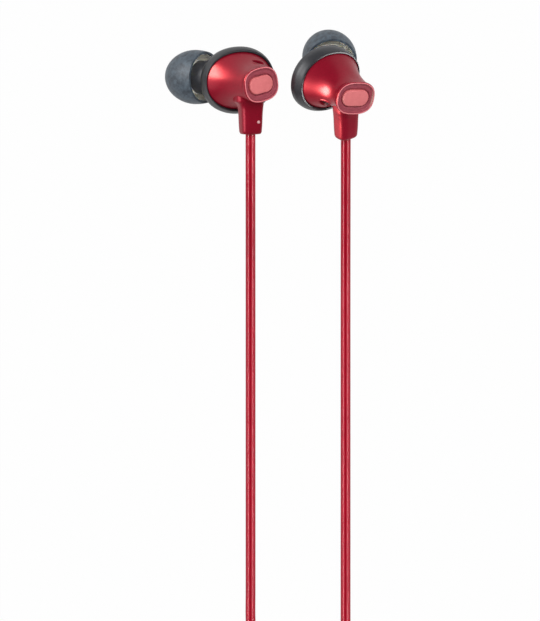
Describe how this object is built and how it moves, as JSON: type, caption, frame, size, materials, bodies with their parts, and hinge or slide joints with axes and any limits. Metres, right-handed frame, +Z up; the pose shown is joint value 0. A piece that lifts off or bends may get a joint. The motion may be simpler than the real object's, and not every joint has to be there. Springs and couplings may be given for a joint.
{
  "type": "wired earphones",
  "caption": "In-ear earphones on a wound cord: silicone tips on angled nozzles, bent horn shells with oval end caps, cord sleeves, Y split and straight 3.5 mm plug.",
  "frame": {"origin": "centre of the two earbuds' common bounding box, on the surface that they lie on", "axes": "+X from the left earbud to the right one, +Y away from the cords, which run along -Y, and +Z up from the surface"},
  "size_m": [0.0531, 0.1943, 0.0273],
  "materials": {
    "tip_slate": "soft satin silicone",
    "core_cream": "soft satin silicone",
    "housing_grey": "satin",
    "mesh_steel": "satin",
    "diaphragm_film": "thin film",
    "copper_wire": "enamelled copper",
    "board_green": "matte",
    "shell_red": "metallic candy gloss",
    "vent_black": "matte",
    "recess_red": "satin",
    "pill_pink": "satin",
    "cord_red": "satin",
    "plug_gold": "polished"
  },
  "bodies": {
    "earphones": {"nozzle_left": "housing_grey", "nozzle_mesh_left": "mesh_steel", "front_housing_left": "housing_grey", "driver_baffle_left": "housing_grey", "driver_rim_left": "mesh_steel", "diaphragm_left": "diaphragm_film", "voice_coil_left": "copper_wire", "magnet_left": "mesh_steel", "yoke_left": "mesh_steel", "terminal_board_left": "board_green", "rear_shell_left": "shell_red", "vent_screen_left": "vent_black", "end_cap_left": "recess_red", "cap_pill_left": "pill_pink", "cord_sleeve_left": "shell_red", "side_dot": "pill_pink", "cord_left": "cord_red", "cord_left_coil": "cord_red", "nozzle_right": "housing_grey", "nozzle_mesh_right": "mesh_steel", "front_housing_right": "housing_grey", "driver_baffle_right": "housing_grey", "driver_rim_right": "mesh_steel", "diaphragm_right": "diaphragm_film", "voice_coil_right": "copper_wire", "magnet_right": "mesh_steel", "yoke_right": "mesh_steel", "terminal_board_right": "board_green", "rear_shell_right": "shell_red", "vent_screen_right": "vent_black", "end_cap_right": "recess_red", "cap_pill_right": "pill_pink", "cord_sleeve_right": "shell_red", "cord_right": "cord_red", "cord_right_coil": "cord_red", "y_split": "shell_red", "cord_main_coil": "cord_red", "cord_main_tail": "cord_red", "plug_relief": "housing_grey", "plug_handle": "shell_red", "plug_sleeve": "plug_gold", "plug_rings": "plug_gold", "plug_insulators": "vent_black", "plug_tip": "plug_gold"},
    "ear_tip_left": {"ear_tip_skirt_left": "tip_slate", "ear_tip_core_left": "core_cream"},
    "ear_tip_right": {"ear_tip_skirt_right": "tip_slate", "ear_tip_core_right": "core_cream"}
  },
  "joints": [
    {"name": "ear_tip_left_slide", "type": "slide", "parent": "earphones", "child": "ear_tip_left", "axis": [-0.788, 0.0429, -0.6142], "range_m": [0, 0.0055]},
    {"name": "ear_tip_right_slide", "type": "slide", "parent": "earphones", "child": "ear_tip_right", "axis": [-0.1478, 0.418, -0.8964], "range_m": [0, 0.0055]}
  ]
}
